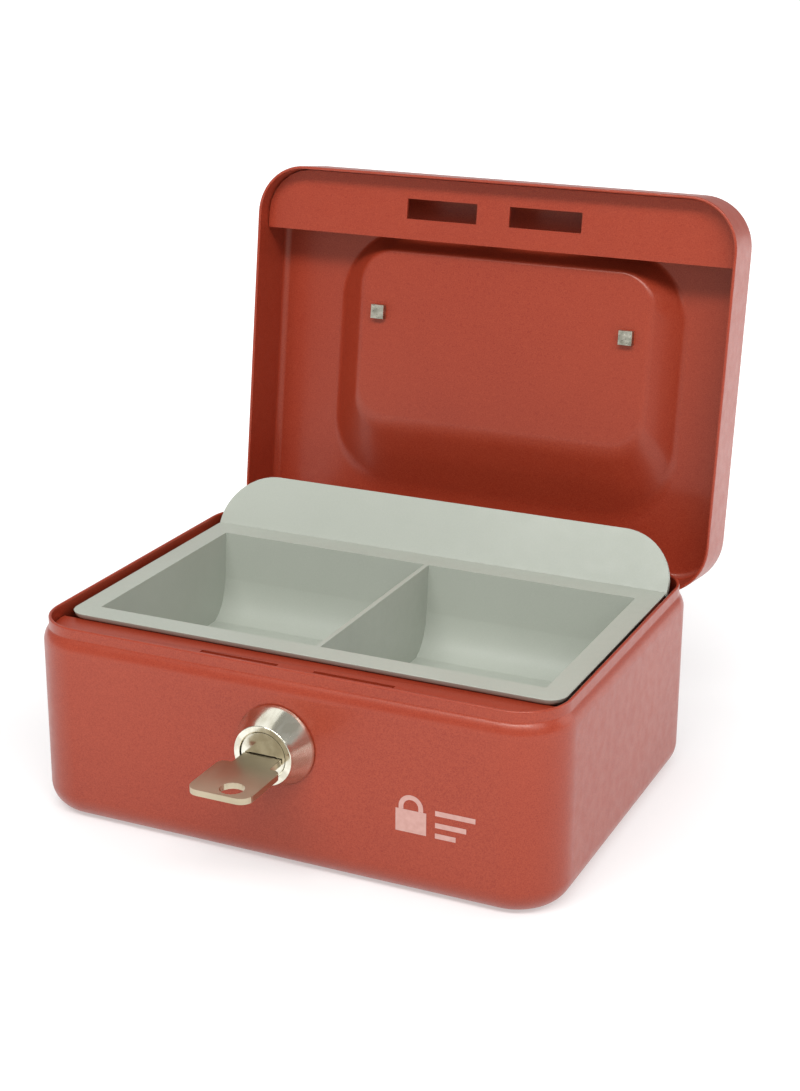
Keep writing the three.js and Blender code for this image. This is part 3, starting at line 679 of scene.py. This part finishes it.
def shackle():
    """The padlock sign's shackle: half a circle on two short legs."""
    radius, centre, foot, width = 2.7, 2.4, 1.62, 1.3
    path = [Vector((radius, foot))]
    path += [Vector((radius * math.cos(a), centre + radius * math.sin(a))) for a in arc(0, 2, 16)]
    path += [Vector((-radius, foot))]
    return band(path, width)


def printed_mark():
    """A plain padlock sign with three bars beside it, printed low on the right of the front."""
    body = rectangle(-4.2, 4.2, -4.6, 1.6)
    start, end, half = 6.6, 17.4, 0.7
    rows = ((2.2, 0), (-1.1, 2.4), (-4.0, 5.2))  # height of each bar, and how much shorter it is
    bars = [rectangle(start, end - cut, z - half, z + half) for z, cut in rows]
    centre = Vector(MARK_CENTRE)
    outlines = [body, *bars, *shackle()]
    mark = flat_print("printed_mark", [[p + centre for p in outline] for outline in outlines])
    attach(mark, "base")
    mark.data.materials.append(print_finish())
    return mark


# ---------------------------------------------------------------- build
for obj, slot in (
    (base_skin(), "red_paint"),
    (lid_skin(), "red_paint"),
    (bezel(), "bright_chrome"),
    (tray(), "tray_plastic"),
    (handle(), "bright_chrome"),
):
    dress(obj, slot)
printed_mark()

slots = {sub["node"]: sub["material_slot"] for sub in frame["record"]["subparts"]}
for node, obj in frame["nodes"].items():
    if obj.hide_render:
        continue
    dress(obj, slots[node])
    soften(obj, EDGE_WIDTH.get(node, OTHER_EDGE_WIDTH), 3 if node in EDGE_WIDTH else 2)


# ---------------------------------------------------------------- studio
def floor():
    """A white paper floor with a painted glow, stronger away from the box so it fades to plain white;
    the weaker glow near the box is painted shade.
    """
    half = 6000
    corners = [(x * half, y * half, 0) for x, y in ((-1, -1), (1, -1), (1, 1), (-1, 1))]
    ground = mesh_object("floor", corners, [(0, 1, 2, 3)])
    f = Finish("floor_paper", roughness=0.9)
    f.color(f.mix(f.spread(f.noise(3, 2), 0, 1), (0.54, 0.54, 0.54), (0.56, 0.56, 0.56)))
    far = f.node("ShaderNodeVectorMath", operation="LENGTH")
    f.link(f.coordinates, far.inputs[0])
    f.shader.inputs["Emission Color"].default_value = (1, 1, 1, 1)
    # Painted light: the floor glows instead of being lit, and glows less near the box as a painted
    # shade round it.
    glow = f.spread(far.outputs["Value"], **FLOOR_GLOW)
    f.link(glow, f.shader.inputs["Emission Strength"])
    ground.data.materials.append(f.material)


def soft_light(name, position, size, power):
    """A rectangular lamp that faces the box."""
    light = bpy.data.lights.new(name, "AREA")
    light.shape = "RECTANGLE"
    light.size, light.size_y = size
    light.energy = power
    lamp = bpy.data.objects.new(name, light)
    lamp.location = position
    lamp.rotation_mode = "QUATERNION"
    lamp.rotation_quaternion = (Vector(position) - LIGHT_TARGET).to_track_quat("Z", "Y")
    bpy.context.scene.collection.objects.link(lamp)


def world():
    """Even white light from all round."""
    made = bpy.data.worlds.new("studio")
    made.use_nodes = True
    background = made.node_tree.nodes["Background"]
    background.inputs["Color"].default_value = (1, 1, 1, 1)
    background.inputs["Strength"].default_value = WORLD_STRENGTH
    bpy.context.scene.world = made


def camera():
    """The viewing angle: 24.65 degrees round to the right and 19.31 above the floor."""
    azimuth, elevation, roll = (math.radians(a) for a in (24.65, 19.31, 0.3))
    level = math.cos(elevation)
    back = Vector((math.sin(azimuth) * level, -math.cos(azimuth) * level, math.sin(elevation)))
    right = Vector((math.cos(azimuth), math.sin(azimuth), 0))
    up = back.cross(right)
    turned_right = right * math.cos(roll) + up * math.sin(roll)
    turned_up = up * math.cos(roll) - right * math.sin(roll)
    data = bpy.data.cameras.new("camera")
    data.lens = CAMERA_LENS
    data.clip_start, data.clip_end = 0.01, 50
    cam = bpy.data.objects.new("camera", data)
    rotation = Matrix((turned_right, turned_up, back)).transposed().to_4x4()
    cam.matrix_world = Matrix.Translation(Vector(CAMERA_POSITION)) @ rotation
    bpy.context.scene.collection.objects.link(cam)
    bpy.context.scene.camera = cam


floor()
world()
for light in LIGHTS:
    soft_light(*light)
camera()
bpy.context.scene.view_settings.view_transform = "Standard"
